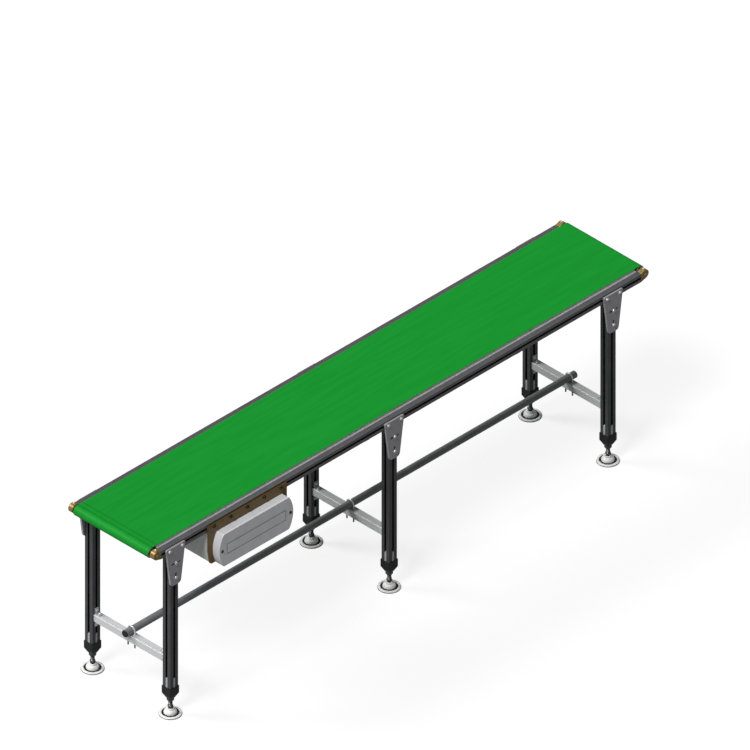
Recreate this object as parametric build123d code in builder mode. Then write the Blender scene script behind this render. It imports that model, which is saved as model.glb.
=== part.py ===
"""Belt conveyor section on six levelling legs, as separate pieces. Millimetres.

+X runs with the carried goods from the infeed nose to the outfeed nose, +Z is up, and the
origin is on the floor under the middle of the belt. "Front" is the -Y side, where the
belt guard of the drive is, and "rear" is the +Y side.
"""

from build123d import *
import math
import os

os.makedirs("parts", exist_ok=True)

# ---------------------------------------------------------------- driving dimensions
conveyor_length = 2500.0  # over the belt, from nose to nose
belt_top = 760.0  # carrying face above the floor
belt_width = 374.0
belt_thickness = 2.0
leg_pitch = 1102.0  # along the conveyor, between leg pairs
infeed_overhang = 107.0  # infeed nose to the first leg pair
cross_beam_top = 251.0  # above the floor

# clearances
roller_gap = 0.3  # belt to every roller, drum and bed it runs on
axle_gap = 0.05  # radial running fit of a shaft or screw in its bore
belt_edge_gap = 8.0  # belt edge to the side rail
strand_clearance = 3.0  # returning belt over the leg tops
hole_gap = 0.5  # radial, bolts in plain holes
shaft_hole_gap = 2.5  # radial, shafts through plates they don't touch
edge_break = 0.8  # chamfer on turned edges

# side rails and legs: extrusions with T-slots
rail_width = 21.0
rail_drop = 10.0  # rail top below the carrying face
leg_size = 40.0
leg_core_bore = 17.0
profile_corner = 2.0
slot_opening = 10.0
slot_lip = 3.0
slot_cavity = 16.0
slot_depth = 8.5
rail_web = 2.5  # wall of the rail's hollow chambers
rail_flute_width = 1.6  # shallow lengthwise flutes in the rail's top face
rail_flute_depth = 0.8
rail_flute_count = 3

# noses
nose_roller_d = 38.0
nose_axle_d = 10.0
nose_block_reach = 20.0  # rail end to nose axle
nose_block_d = 36.0
clamp_screw_d = 5.0
clamp_head_d = 9.0
clamp_head_height = 3.0
roller_wall = 3.0
roller_hub = 12.0  # solid end of a roller round its axle
roller_end_gap = 7.0  # roller end to the rail

# slider bed, a folded sheet with a low flange along each side
bed_thickness = 2.0
bed_inset = 3.0  # bed's raised edge in from the belt's edge
bed_flange_gap = 0.5  # flange to the side rail
bed_rib_height = 10.0
bed_rib_count = 5
bed_nose_gap = 22.0  # bed end to nose axle
member_length = 30.0  # of a bed cross member, along the conveyor
member_clear = 6.3  # over the returning belt
member_wall = 2.0
member_count = 7
member_end_margin = 60.0  # outer members in from the nose axles

# leg brackets
plate_thickness = 8.0
bracket_top_width = 96.0
bracket_bottom_width = 50.0
bracket_height = 168.0
bracket_overlap = 29.6  # of the rail
bracket_corner = 14.0
plate_top_corner = 5.0  # of the brackets and drive plates
bracket_bolt_pitch = 63.0
bracket_slot_drop = 63.0  # rail slot to the level slot
bracket_lower_drop = 126.0  # rail slot to the lowest bolt
bracket_level_slot = 44.0
bracket_upright_slot = 26.0

# bolts, M8 with T-nuts
bolt_d = 8.0
bolt_head_d = 14.0
bolt_head_height = 5.0
hex_socket = 5.0
nut_length = 16.0
nut_play = 1.0  # in the slot's cavity
nut_thickness = 4.2

# feet
leg_bottom = 122.0  # leg end above the floor
cap_overhang = 3.0  # end cap past the leg's faces
cap_rim = 30.0
cap_taper = 20.0
cap_corner = 3.0
cap_neck_rim = 1.0  # of the cap's narrow end, past the lock nut
anchor_height = 40.0  # of the zinc anchors in the leg slots
anchor_thickness = 7.5
anchor_inset = 0.5  # behind the leg's face
anchor_play = 0.4  # in the slot's opening
stem_d = 16.0
stem_in_leg = 40.0
stem_chamfer = 1.5
lock_nut_height = 13.0
lock_nut_flats = 24.0
pad_d = 86.0
pad_rim = 6.0  # height of the outer ring
pad_rim_width = 10.5
pad_rim_slope = 5.0  # how far the ring's outer edge slopes in
pad_groove_width = 8.0
pad_groove_depth = 2.0
pad_dome_top = 19.0
pad_dome_bulge = 2.0
pad_hub_d = 28.0
pad_hub_top = 25.0
pad_chamfer = 1.0
socket_lip_rise = 5.0  # socket lip above the ball centre
socket_funnel = 1.5  # how much wider the socket's mouth is than its lip
ball_d = 16.0
ball_height = 15.0  # centre above the floor
ball_neck_d = 9.0
stem_hex_flats = 19.0
stem_hex_bottom = 29.0
stem_hex_height = 9.0

# cross beams and the tie tube
beam_size = 30.0
beam_wall = 2.5
corner_leg = 24.0  # of a beam corner bracket
corner_width = 18.0
corner_thickness = 4.0
corner_screw_d = 6.0
corner_head_d = 10.0
corner_head_height = 3.0
corner_screw_grip = 5.0  # past the bracket, into the slot or beam
corner_screw_spot = 15.0  # from the corner
tube_d = 28.0
tube_wall = 2.0
tube_overhang_infeed = 32.0  # past the outer leg centres
tube_overhang_outfeed = 26.0
tube_cap_head = 4.0
tube_cap_plug = 16.0
tube_cap_chamfer = 1.5
u_bolt_d = 6.0
u_bolt_tail = 27.0  # below the beam
u_nut_height = 5.0
u_nut_flats = 10.0

# drive unit under the belt, near the infeed end
drive_setback = 365.0  # infeed nose to drum axis
drive_drop = 124.5  # carrying face to drum axis
drum_d = 90.0
drum_end_gap = 5.0  # drum past the belt edge
drum_shaft_d = 20.0
snub_d = 36.0
snub_axle_d = 12.0
shaft_spacing = 227.0  # drum axis to gear motor axis
drive_plate = 6.0
drive_plate_top = 19.0  # below the carrying face
drive_infeed_margin = 9.4  # snub roller to the plate edge
drive_outfeed_margin = 76.0  # motor axis to the plate edge
drive_belly = 14.2  # belt under the drum to the plate bottom
drive_foot_inset = 9.0  # how far the lower ends lean in
drive_corner = 14.0
housing_wall = 2.0
housing_inset = 2.0  # behind the edges of the drive plates
housing_gap = 2.0  # housing to the rails above it
drive_bolt_pitch = 84.0
drive_bolt_count = 5
bearing_d = 58.0
bearing_depth = 16.0

# gear motor
gearbox_size = 80.0
gearbox_depth = 60.0
gearbox_corner = 6.0
gearbox_chamfer = 3.0
gearbox_bore = 48.0  # depth of the output shaft's bore
output_shaft_seat = 42.0  # of the shaft in that bore
motor_d = 76.0
motor_barrel_d = 70.0
motor_flange = 10.0
motor_length = 190.0
motor_shaft_d = 14.0
cowl_length = 40.0
terminal_box = (70.0, 60.0, 26.0)
terminal_sink = 0.5  # below the top of the barrel
terminal_corner = 5.0
gland_d = 16.0
gland_length = 14.0

# toothed belt drive and its guard
drum_pulley_d = 76.0
motor_pulley_d = 62.0
timing_width = 20.0
timing_thickness = 3.0
pulley_flange = 2.0
pulley_flange_rise = 4.5
pulley_tooth_pitch = 10.0
pulley_tooth_gap = 4.0
pulley_plate_gap = 5.0
guard_depth = 36.0
guard_height = 138.0
guard_wall = 2.5
guard_end_reach = 72.0  # past each shaft axis
guard_bulge = 21.0
guard_corner = 8.0
guard_panel = (299.0, 45.0)  # blank panel on the face, inside a groove
guard_groove = 3.0
guard_groove_depth = 1.5
guard_screw_inset = 14.0
guard_screw_d = 5.0
guard_screw_head_d = 12.0
guard_screw_head_height = 2.5
guard_boss_d = 13.0

# return rollers
return_d = 20.0
return_axle_d = 8.0
return_positions = (-170.0, 590.0)
hanger_thickness = 3.0
hanger_width = 24.0
hanger_gap = 2.0  # roller end to the hanger
hanger_foot_inset = 2.0  # foot's end in from the rail's outer face

# ---------------------------------------------------------------- worked-out places
nose_r = nose_roller_d / 2
drum_r = drum_d / 2
snub_r = snub_d / 2
return_r = return_d / 2
nose_turn = nose_r + roller_gap + belt_thickness
nose_x = conveyor_length / 2 - nose_turn
nose_z = belt_top - nose_turn
return_face = nose_z - nose_turn  # underside of the returning belt

rail_inner = belt_width / 2 + belt_edge_gap
rail_outer = rail_inner + rail_width
rail_y = (rail_inner + rail_outer) / 2
rail_top = belt_top - rail_drop
rail_bottom = return_face - strand_clearance
rail_height = rail_top - rail_bottom
rail_mid = (rail_top + rail_bottom) / 2
rail_end = nose_x - nose_block_reach
nose_block_top = nose_z + nose_block_d / 2

bed_top = nose_z + nose_r
rib_bottom = bed_top - bed_thickness - bed_rib_height
member_height = rib_bottom - (return_face + belt_thickness) - member_clear

leg_x = [infeed_overhang - conveyor_length / 2 + i * leg_pitch for i in range(3)]
leg_y = rail_outer - leg_size / 2
stations = dict(zip(("infeed", "centre", "outfeed"), leg_x))
sides = {"front": -1, "rear": 1}
feet_spots = [(x, side * leg_y) for x in leg_x for side in sides.values()]
leg_inner = leg_y - leg_size / 2

beam_z = cross_beam_top - beam_size / 2
tube_z = cross_beam_top + tube_d / 2

drive_x = drive_setback - conveyor_length / 2
drive_z = belt_top - drive_drop
motor_x = drive_x + shaft_spacing
snub_offset = drum_r + snub_r + 2 * roller_gap + belt_thickness
snub_z = return_face - roller_gap - snub_r
plate_start = drive_x - snub_offset - snub_r - drive_infeed_margin
plate_end = motor_x + drive_outfeed_margin
plate_bottom = drive_z - drum_r - roller_gap - belt_thickness - drive_belly
plate_middle = (plate_start + plate_end) / 2
plate_outer = rail_outer + drive_plate
housing_top = rail_bottom - housing_gap
drum_half = belt_width / 2 + drum_end_gap
pulley_back = plate_outer + pulley_plate_gap
pulley_front = pulley_back + timing_width + 2 * pulley_flange
guard_face = plate_outer + guard_depth
guard_start = drive_x - guard_end_reach
guard_end = motor_x + guard_end_reach
guard_screws_x = (guard_start + guard_screw_inset, guard_end - guard_screw_inset)
drive_bolts_x = [plate_middle + (i - (drive_bolt_count - 1) / 2) * drive_bolt_pitch
                 for i in range(drive_bolt_count)]

FRONT = Plane.XZ  # local y is up, and the normal points to the front
ACROSS = Plane.YZ  # local y is up, and the normal points to the outfeed end


def write(piece, name):
    """Label a finished piece and save it as its own file."""
    piece.part.label = name
    export_step(piece.part, f"parts/{name}.step")


def write_together(pieces, name):
    """Save pieces that always stay together as separate solids in one file."""
    group = Compound(label=name, children=[piece.part for piece in pieces])
    export_step(group, f"parts/{name}.step")


def slot_cuts(reach_x, reach_y, turns):
    """T-slots cut into a profile, at the faces named by their turns about its centre."""
    for turn in turns:
        reach = reach_x if turn % 180 == 0 else reach_y
        with Locations(Location((0, 0, 0), (0, 0, turn))):
            with Locations((reach, 0)):
                Rectangle(slot_depth, slot_opening, align=(Align.MAX, Align.CENTER),
                          mode=Mode.SUBTRACT)
            with Locations((reach - slot_lip, 0)):
                Rectangle(slot_depth - slot_lip, slot_cavity, align=(Align.MAX, Align.CENTER),
                          mode=Mode.SUBTRACT)


def side_plane(side, distance):
    """Plane facing outward on one side of the conveyor, with its local x along +X."""
    if side < 0:
        return Plane(origin=(0, -distance, 0), x_dir=(1, 0, 0), z_dir=(0, -1, 0))
    return Plane(origin=(0, distance, 0), x_dir=(-1, 0, 0), z_dir=(0, 1, 0))


def on_side(side, x, z):
    """Point (x, z) of the conveyor in the local axes of side_plane."""
    return (-side * x, z)


# ---------------------------------------------------------------- side rails
for side_name, side in sides.items():
    with BuildPart() as side_rail:
        with BuildSketch(ACROSS.offset(-rail_end)):
            with Locations((side * rail_y, rail_mid)):
                Rectangle(rail_width, rail_height)
                slot_cuts(rail_width / 2, rail_height / 2, (0, 180))
            chamber_height = rail_height / 2 - slot_cavity / 2 - 2 * rail_web
            for level in (-1, 1):
                with Locations((side * rail_y, rail_mid
                                + level * (rail_height / 2 - rail_web - chamber_height / 2))):
                    RectangleRounded(rail_width - 2 * rail_web, chamber_height,
                                     chamber_height / 4, mode=Mode.SUBTRACT)
            with Locations((side * rail_y, rail_top)):
                with GridLocations(rail_width / (rail_flute_count + 1), 0, rail_flute_count, 1):
                    Rectangle(rail_flute_width, 2 * rail_flute_depth, mode=Mode.SUBTRACT)
        extrude(amount=2 * rail_end)
    write(side_rail, f"{side_name}_side_rail")

# ---------------------------------------------------------------- slider bed and its cross members
bed_half = nose_x - bed_nose_gap
with BuildPart() as slider_bed:
    with BuildSketch(ACROSS.offset(-bed_half)):
        bed_width = belt_width - 2 * bed_inset
        with Locations((0, bed_top)):
            Rectangle(bed_width, bed_thickness, align=(Align.CENTER, Align.MAX))
        rib_pitch = (bed_width - bed_thickness) / (bed_rib_count - 1)
        with Locations((0, rib_bottom + (bed_rib_height + bed_thickness) / 2)):
            with GridLocations(rib_pitch, 0, bed_rib_count, 1):
                Rectangle(bed_thickness, bed_rib_height + bed_thickness)
        flange_width = rail_inner - bed_flange_gap - bed_width / 2 + bed_thickness
        with Locations((0, rail_top - bed_thickness / 2)):
            with GridLocations(bed_width - 2 * bed_thickness + flange_width, 0, 2, 1):
                Rectangle(flange_width, bed_thickness)
    extrude(amount=2 * bed_half)
write(slider_bed, "slider_bed")

member_pitch = 2 * (nose_x - member_end_margin) / (member_count - 1)
with BuildPart() as bed_cross_members:
    with BuildSketch(FRONT.offset(-rail_inner)):
        with Locations((0, rib_bottom - member_height / 2)):
            with GridLocations(member_pitch, 0, member_count, 1):
                Rectangle(member_length, member_height)
                Rectangle(member_length - 2 * member_wall, member_height - 2 * member_wall,
                          mode=Mode.SUBTRACT)
    extrude(amount=2 * rail_inner)
write(bed_cross_members, "bed_cross_members")


# ---------------------------------------------------------------- conveyor belt
def belt_loop(depth):
    """The belt's closed line, a depth out from its inner face, as lines and tangent arcs."""
    nose = nose_r + roller_gap + depth
    drum = drum_r + roller_gap + depth
    snub = snub_r + roller_gap + belt_thickness - depth
    low = nose_z - nose
    Line((-nose_x, nose_z + nose), (nose_x, nose_z + nose))
    CenterArc((nose_x, nose_z), nose, 90, -180)
    Line((nose_x, low), (drive_x + snub_offset, low))
    CenterArc((drive_x + snub_offset, snub_z), snub, 90, 90)
    Line((drive_x + drum, snub_z), (drive_x + drum, drive_z))
    CenterArc((drive_x, drive_z), drum, 0, -180)
    Line((drive_x - drum, drive_z), (drive_x - drum, snub_z))
    CenterArc((drive_x - snub_offset, snub_z), snub, 0, 90)
    Line((drive_x - snub_offset, low), (-nose_x, low))
    CenterArc((-nose_x, nose_z), nose, 270, -180)


with BuildPart() as conveyor_belt:
    with BuildSketch(FRONT):
        with BuildLine():
            belt_loop(belt_thickness)
        make_face()
        with BuildLine():
            belt_loop(0)
        make_face(mode=Mode.SUBTRACT)
    extrude(amount=belt_width / 2, both=True)
write(conveyor_belt, "conveyor_belt")


# ---------------------------------------------------------------- rollers, drum and axles
def roller(x, z, radius, half_length, axle_d):
    """Hollow roller about an axis along Y, with a thick hub at each end bored for its axle."""
    with BuildPart() as shell:
        with Locations(Location((x, 0, z), (90, 0, 0))):
            Cylinder(radius, 2 * half_length)
            Cylinder(radius - roller_wall, 2 * (half_length - roller_hub), mode=Mode.SUBTRACT)
            Cylinder(axle_d / 2 + axle_gap, 2 * half_length, mode=Mode.SUBTRACT)
        chamfer(shell.edges().filter_by(GeomType.CIRCLE).group_by(Axis.Y)[0].sort_by(
            SortBy.RADIUS)[-1], edge_break)
        chamfer(shell.edges().filter_by(GeomType.CIRCLE).group_by(Axis.Y)[-1].sort_by(
            SortBy.RADIUS)[-1], edge_break)
    return shell


roller_half = rail_inner - roller_end_gap
write(roller(-nose_x, nose_z, nose_r, roller_half, nose_axle_d), "infeed_nose_roller")
write(roller(nose_x, nose_z, nose_r, roller_half, nose_axle_d), "outfeed_nose_roller")
write(roller(drive_x - snub_offset, snub_z, snub_r, roller_half, snub_axle_d),
      "infeed_snub_roller")
write(roller(drive_x + snub_offset, snub_z, snub_r, roller_half, snub_axle_d),
      "outfeed_snub_roller")
return_z = return_face - roller_gap - return_r
for end_name, x in zip(("centre", "outfeed"), return_positions):
    write(roller(x, return_z, return_r, roller_half, return_axle_d), f"{end_name}_return_roller")

with BuildPart() as roller_axles:
    for x in (-nose_x, nose_x):
        with Locations(Location((x, 0, nose_z), (90, 0, 0))):
            Cylinder(nose_axle_d / 2, 2 * rail_outer)
    for x in (drive_x - snub_offset, drive_x + snub_offset):
        with Locations(Location((x, 0, snub_z), (90, 0, 0))):
            Cylinder(snub_axle_d / 2, 2 * rail_outer)
    for x in return_positions:
        with Locations(Location((x, 0, return_z), (90, 0, 0))):
            Cylinder(return_axle_d / 2, 2 * rail_inner)
    chamfer(roller_axles.edges().filter_by(GeomType.CIRCLE), edge_break)
write(roller_axles, "roller_axles")

with BuildPart() as drive_drum:
    with Locations(Location((drive_x, 0, drive_z), (90, 0, 0))):
        Cylinder(drum_r, 2 * drum_half)
        Cylinder(drum_r - 2 * roller_wall, 2 * (drum_half - drum_shaft_d), mode=Mode.SUBTRACT)
    with BuildSketch(FRONT.offset(-rail_outer)):
        with Locations((drive_x, drive_z)):
            Circle(drum_shaft_d / 2)
    extrude(amount=rail_outer + pulley_front)
    chamfer(drive_drum.edges().filter_by(GeomType.CIRCLE).group_by(Axis.Y)[0], edge_break)
write(drive_drum, "drive_drum")

# ---------------------------------------------------------------- nose end blocks
nose_neck = edge_break  # straight part of an end block, as tall as the rail
with BuildPart() as nose_end_blocks:
    for side in sides.values():
        for end in (-1, 1):
            with BuildSketch(side_plane(side, rail_inner)):
                with Locations(on_side(side, end * nose_x, nose_z)):
                    Circle(nose_block_d / 2)
                with Locations(on_side(side, end * (rail_end + nose_neck / 2), rail_mid)):
                    Rectangle(nose_neck, rail_height)
                make_hull()
                with Locations(on_side(side, end * nose_x, nose_z)):
                    Circle(nose_axle_d / 2 + axle_gap, mode=Mode.SUBTRACT)
            extrude(amount=rail_width)
    with Locations(*[(end * nose_x, side * rail_y, nose_block_top) for end in (-1, 1)
                     for side in sides.values()]):
        Hole(clamp_screw_d / 2 + axle_gap, nose_block_top - nose_z)
write(nose_end_blocks, "nose_end_blocks")

with BuildPart() as nose_clamp_screws:
    for end in (-1, 1):
        for side in sides.values():
            with Locations((end * nose_x, side * rail_y, nose_block_top)):
                Cylinder(clamp_head_d / 2, clamp_head_height,
                         align=(Align.CENTER, Align.CENTER, Align.MIN))
                Cylinder(clamp_screw_d / 2, nose_block_top - nose_z - nose_axle_d / 2,
                         align=(Align.CENTER, Align.CENTER, Align.MAX))
write(nose_clamp_screws, "nose_clamp_screws")

# ---------------------------------------------------------------- legs, end caps, anchors, lock nuts
for station, x in stations.items():
    for side_name, side in sides.items():
        with BuildPart() as leg:
            with BuildSketch(Plane.XY.offset(leg_bottom)):
                with Locations((x, side * leg_y)):
                    RectangleRounded(leg_size, leg_size, profile_corner)
                    slot_cuts(leg_size / 2, leg_size / 2, (0, 90, 180, 270))
                    Circle(leg_core_bore / 2, mode=Mode.SUBTRACT)
            extrude(amount=rail_bottom - leg_bottom)
        write(leg, f"{station}_{side_name}_leg")

cap_size = leg_size + 2 * cap_overhang
cap_neck = lock_nut_flats + 2 * cap_neck_rim
with BuildPart() as leg_end_caps:
    for spot in feet_spots:
        with BuildSketch(Plane.XY.offset(leg_bottom - cap_rim)):
            with Locations(spot):
                RectangleRounded(cap_size, cap_size, cap_corner)
        extrude(amount=cap_rim)
        with BuildSketch(Plane.XY.offset(leg_bottom - cap_rim)):
            with Locations(spot):
                RectangleRounded(cap_size, cap_size, cap_corner)
        with BuildSketch(Plane.XY.offset(leg_bottom - cap_rim - cap_taper)):
            with Locations(spot):
                RectangleRounded(cap_neck, cap_neck, cap_corner)
        loft()
        with Locations((*spot, leg_bottom)):
            Hole(stem_d / 2 + axle_gap, cap_rim + cap_taper)
write(leg_end_caps, "leg_end_caps")

with BuildPart() as leg_anchors:
    for spot in feet_spots:
        with BuildSketch(Plane.XY.offset(leg_bottom)):
            with Locations(spot):
                with PolarLocations(leg_size / 2 - anchor_inset, 4):
                    Rectangle(anchor_thickness, slot_opening - anchor_play,
                              align=(Align.MAX, Align.CENTER))
        extrude(amount=anchor_height)
write(leg_anchors, "leg_anchors")

nut_top = leg_bottom - cap_rim - cap_taper
with BuildPart() as foot_lock_nuts:
    for spot in feet_spots:
        with BuildSketch(Plane.XY.offset(nut_top - lock_nut_height)):
            with Locations(spot):
                RegularPolygon(lock_nut_flats / 2, 6, major_radius=False)
                Circle(stem_d / 2 + axle_gap, mode=Mode.SUBTRACT)
        extrude(amount=lock_nut_height)
write(foot_lock_nuts, "foot_lock_nuts")

# ---------------------------------------------------------------- levelling feet
ball_r = ball_d / 2
socket_r = ball_r + roller_gap
lip_r = math.sqrt(socket_r ** 2 - socket_lip_rise ** 2)
for station, x in stations.items():
    for side_name, side in sides.items():
        foot = Plane(origin=(x, side * leg_y, 0), x_dir=(1, 0, 0), z_dir=(0, -1, 0))
        axis = Axis((x, side * leg_y, 0), (0, 0, 1))

        with BuildPart() as foot_stem:
            with BuildSketch(foot):
                with BuildLine():
                    neck_r = ball_neck_d / 2
                    meet = math.sqrt(ball_r ** 2 - neck_r ** 2)
                    ThreePointArc((0, ball_height - ball_r), (ball_r, ball_height),
                                  (neck_r, ball_height + meet))
                    Polyline((neck_r, ball_height + meet), (neck_r, stem_hex_bottom),
                             (stem_d / 2, stem_hex_bottom),
                             (stem_d / 2, leg_bottom + stem_in_leg - stem_chamfer),
                             (stem_d / 2 - stem_chamfer, leg_bottom + stem_in_leg),
                             (0, leg_bottom + stem_in_leg), (0, ball_height - ball_r))
                make_face()
            revolve(axis=axis)
            with BuildSketch(Plane.XY.offset(stem_hex_bottom)):
                with Locations((x, side * leg_y)):
                    RegularPolygon(stem_hex_flats / 2, 6, major_radius=False)
            extrude(amount=stem_hex_height)
        write(foot_stem, f"{station}_{side_name}_foot_stem")

        with BuildPart() as foot_pad:
            with BuildSketch(foot):
                with BuildLine():
                    hub_r = pad_hub_d / 2
                    rim_r = pad_d / 2
                    floor_z = ball_height - socket_r
                    mouth_r = lip_r + socket_funnel
                    ring_r = rim_r - pad_rim_width
                    dome_r = ring_r - pad_groove_width
                    groove_z = pad_rim - pad_groove_depth
                    outline = Polyline((0, floor_z), (0, 0), (rim_r - pad_chamfer, 0),
                                       (rim_r, pad_chamfer), (rim_r, groove_z),
                                       (rim_r - pad_rim_slope, pad_rim), (ring_r, pad_rim),
                                       (ring_r, groove_z), (dome_r, groove_z),
                                       (dome_r, pad_rim))
                    dome = ThreePointArc(outline @ 1,
                                         ((dome_r + hub_r) / 2 + pad_dome_bulge,
                                          (pad_rim + pad_dome_top) / 2 + pad_dome_bulge),
                                         (hub_r, pad_dome_top))
                    Polyline(dome @ 1, (hub_r, pad_hub_top - pad_chamfer),
                             (hub_r - pad_chamfer, pad_hub_top),
                             (mouth_r, pad_hub_top), (lip_r, ball_height + socket_lip_rise))
                    ThreePointArc((lip_r, ball_height + socket_lip_rise), (socket_r, ball_height),
                                  (0, floor_z))
                make_face()
            revolve(axis=axis)
        write(foot_pad, f"{station}_{side_name}_foot_pad")

# ---------------------------------------------------------------- leg brackets and their bolts
bracket_top = rail_bottom + bracket_overlap
lower_bolt = rail_mid - bracket_lower_drop
level_slot = rail_mid - bracket_slot_drop
with BuildPart() as leg_brackets:
    for side in sides.values():
        for x in leg_x:
            with BuildSketch(side_plane(side, rail_outer)) as bracket_face:
                with BuildLine():
                    Polyline(*[on_side(side, x + dx, z) for dx, z in (
                        (-bracket_top_width / 2, bracket_top),
                        (bracket_top_width / 2, bracket_top),
                        (bracket_bottom_width / 2, bracket_top - bracket_height),
                        (-bracket_bottom_width / 2, bracket_top - bracket_height))], close=True)
                make_face()
                fillet(bracket_face.vertices().group_by(Axis.Y)[0], bracket_corner)
                fillet(bracket_face.vertices().group_by(Axis.Y)[-1], plate_top_corner)
                with Locations(*[on_side(side, x + dx, rail_mid)
                                 for dx in (-bracket_bolt_pitch / 2, bracket_bolt_pitch / 2)]):
                    Circle(bolt_d / 2 + hole_gap, mode=Mode.SUBTRACT)
                with Locations(on_side(side, x, level_slot)):
                    SlotOverall(bracket_level_slot, bolt_d + 2 * hole_gap, mode=Mode.SUBTRACT)
                with Locations(on_side(side, x, lower_bolt + (bracket_upright_slot - bolt_d) / 2
                                       - hole_gap)):
                    SlotOverall(bracket_upright_slot, bolt_d + 2 * hole_gap, rotation=90,
                                mode=Mode.SUBTRACT)
            extrude(amount=plate_thickness)
write(leg_brackets, "leg_brackets")

bracket_bolt_spots = [(x + dx, z) for x in leg_x for dx, z in (
    (-bracket_bolt_pitch / 2, rail_mid), (bracket_bolt_pitch / 2, rail_mid),
    (0, level_slot), (0, lower_bolt))]
drive_bolt_spots = [(x, rail_mid) for x in drive_bolts_x]
bolt_reach = slot_lip + nut_thickness
nut_width = slot_cavity - nut_play

with BuildPart() as t_slot_bolts:
    for side in sides.values():
        for spots, plate in ((bracket_bolt_spots, plate_thickness),
                             (drive_bolt_spots, drive_plate)):
            seat = side_plane(side, rail_outer + plate)
            places = [on_side(side, x, z) for x, z in spots]
            with BuildSketch(seat):
                with Locations(*places):
                    Circle(bolt_head_d / 2)
            extrude(amount=bolt_head_height)
            with BuildSketch(seat):
                with Locations(*places):
                    Circle(bolt_d / 2)
            extrude(amount=-(plate + bolt_reach))
            with BuildSketch(seat.offset(bolt_head_height)):
                with Locations(*places):
                    RegularPolygon(hex_socket / 2, 6, major_radius=False)
            extrude(amount=-bolt_head_height / 2, mode=Mode.SUBTRACT)
write(t_slot_bolts, "t_slot_bolts")

with BuildPart() as t_slot_nuts:
    for side in sides.values():
        under_lip = side_plane(side, rail_outer - slot_lip)
        for x, z in bracket_bolt_spots + drive_bolt_spots:
            in_rail = z == rail_mid
            with BuildSketch(under_lip):
                with Locations(on_side(side, x, z)):
                    Rectangle(nut_length if in_rail else nut_width,
                              nut_width if in_rail else nut_length)
                    Circle(bolt_d / 2 + axle_gap, mode=Mode.SUBTRACT)
            extrude(amount=-nut_thickness)
write(t_slot_nuts, "t_slot_nuts")

# ---------------------------------------------------------------- cross beams and corner brackets
stud_y = (tube_d + u_bolt_d) / 2
for station, x in stations.items():
    with BuildPart() as cross_beam:
        with BuildSketch(FRONT.offset(-leg_inner)):
            with Locations((x, beam_z)):
                RectangleRounded(beam_size, beam_size, profile_corner)
                Rectangle(beam_size - 2 * beam_wall, beam_size - 2 * beam_wall,
                          mode=Mode.SUBTRACT)
        extrude(amount=2 * leg_inner)
        with Locations(*[(x, y, cross_beam_top) for y in (-stud_y, stud_y)]):
            Hole(u_bolt_d / 2 + hole_gap, beam_size)
        screw_y = leg_inner - corner_screw_spot
        with Locations(*[(x, y, cross_beam_top) for y in (-screw_y, screw_y)]):
            Hole(corner_screw_d / 2 + axle_gap, beam_size)
    write(cross_beam, f"{station}_cross_beam")

corner_screws = [place for side in sides.values() for x in leg_x
                 for level, seat in ((1, cross_beam_top), (-1, cross_beam_top - beam_size))
                 for place in (
                     Location((x, side * (leg_inner - corner_thickness),
                               seat + level * corner_screw_spot), (side * 90, 0, 0)),
                     Location((x, side * (leg_inner - corner_screw_spot),
                               seat + level * corner_thickness), (90 - level * 90, 0, 0)))]
with BuildPart() as beam_corner_brackets:
    for side in sides.values():
        for x in leg_x:
            for level, seat in ((1, cross_beam_top), (-1, cross_beam_top - beam_size)):
                with BuildSketch(ACROSS.offset(x - corner_width / 2)):
                    with BuildLine():
                        Polyline(*[(side * (leg_inner - inward), seat + level * up)
                                   for inward, up in (
                                       (0, 0), (corner_leg, 0), (corner_leg, corner_thickness),
                                       (corner_thickness, corner_thickness),
                                       (corner_thickness, corner_leg), (0, corner_leg))],
                                 close=True)
                    make_face()
                extrude(amount=corner_width)
    with Locations(*corner_screws):
        Cylinder(corner_screw_d / 2 + hole_gap, 2 * corner_thickness + hole_gap,
                 mode=Mode.SUBTRACT)
write(beam_corner_brackets, "beam_corner_brackets")

with BuildPart() as corner_bracket_screws:
    with Locations(*corner_screws):
        Cylinder(corner_head_d / 2, corner_head_height,
                 align=(Align.CENTER, Align.CENTER, Align.MIN))
        Cylinder(corner_screw_d / 2, corner_thickness + corner_screw_grip,
                 align=(Align.CENTER, Align.CENTER, Align.MAX))
write(corner_bracket_screws, "corner_bracket_screws")

# ---------------------------------------------------------------- tie tube, its caps and U-bolts
tube_start = leg_x[0] - tube_overhang_infeed
tube_end = leg_x[-1] + tube_overhang_outfeed
with BuildPart() as tie_tube:
    with BuildSketch(ACROSS.offset(tube_start)):
        with Locations((0, tube_z)):
            Circle(tube_d / 2)
            Circle(tube_d / 2 - tube_wall, mode=Mode.SUBTRACT)
    extrude(amount=tube_end - tube_start)
write(tie_tube, "tie_tube")

with BuildPart() as tie_tube_caps:
    for x, way in ((tube_start, -1), (tube_end, 1)):
        with BuildSketch(ACROSS.offset(x)):
            with Locations((0, tube_z)):
                Circle(tube_d / 2)
        extrude(amount=way * tube_cap_head)
        with BuildSketch(ACROSS.offset(x)):
            with Locations((0, tube_z)):
                Circle(tube_d / 2 - tube_wall)
        extrude(amount=-way * tube_cap_plug)
    for end in (0, -1):
        chamfer(tie_tube_caps.edges().filter_by(GeomType.CIRCLE).group_by(Axis.X)[end],
                tube_cap_chamfer)
write(tie_tube_caps, "tie_tube_caps")

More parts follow.
